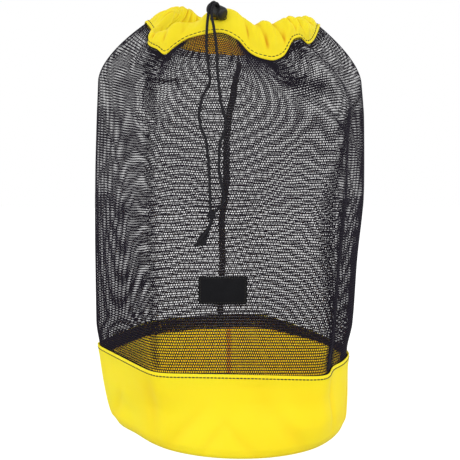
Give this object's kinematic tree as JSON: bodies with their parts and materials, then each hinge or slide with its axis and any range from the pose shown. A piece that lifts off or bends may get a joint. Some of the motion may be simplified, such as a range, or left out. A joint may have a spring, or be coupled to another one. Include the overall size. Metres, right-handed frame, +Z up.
{
  "type": "mesh stuff sack",
  "caption": "Tall drawstring stuff sack with a coated nylon base, a net body, a gathered nylon casing and a spring cord lock; holds loose soft gear.",
  "frame": {"origin": "on the floor under the middle of the sack, in the lower face of its base disc", "axes": "+Z up the sack, -Y towards its front with the label and cord lock, +X to the right as seen from the front"},
  "size_m": [0.2648, 0.2439, 0.415],
  "materials": {
    "yellow_nylon": "coated woven nylon",
    "black_net": "knitted polyester net",
    "black_tape": "woven binding tape",
    "black_label": "woven label",
    "black_cord": "braided cord",
    "black_plastic": "moulded, satin"
  },
  "bodies": {
    "sack": {"base_disc": "yellow_nylon", "base_wall": "yellow_nylon", "net_body": "black_net", "back_seam_tape": "black_tape", "label": "black_label", "collar": "yellow_nylon", "drawcord_ring": "black_cord", "drawcord_left": "black_cord", "drawcord_right": "black_cord", "cord_knot": "black_cord", "cord_tail_left": "black_cord", "cord_tail_right": "black_cord", "cord_lock_barrel": "black_plastic"},
    "plunger": {"cord_lock_plunger": "black_plastic"}
  },
  "joints": [
    {"name": "plunger_press", "type": "slide", "parent": "sack", "child": "plunger", "axis": [0.7378, -0.5097, -0.4426], "range_m": [0, 0.0022], "stiffness_N_per_m": 800, "springref_m": -0.003}
  ]
}
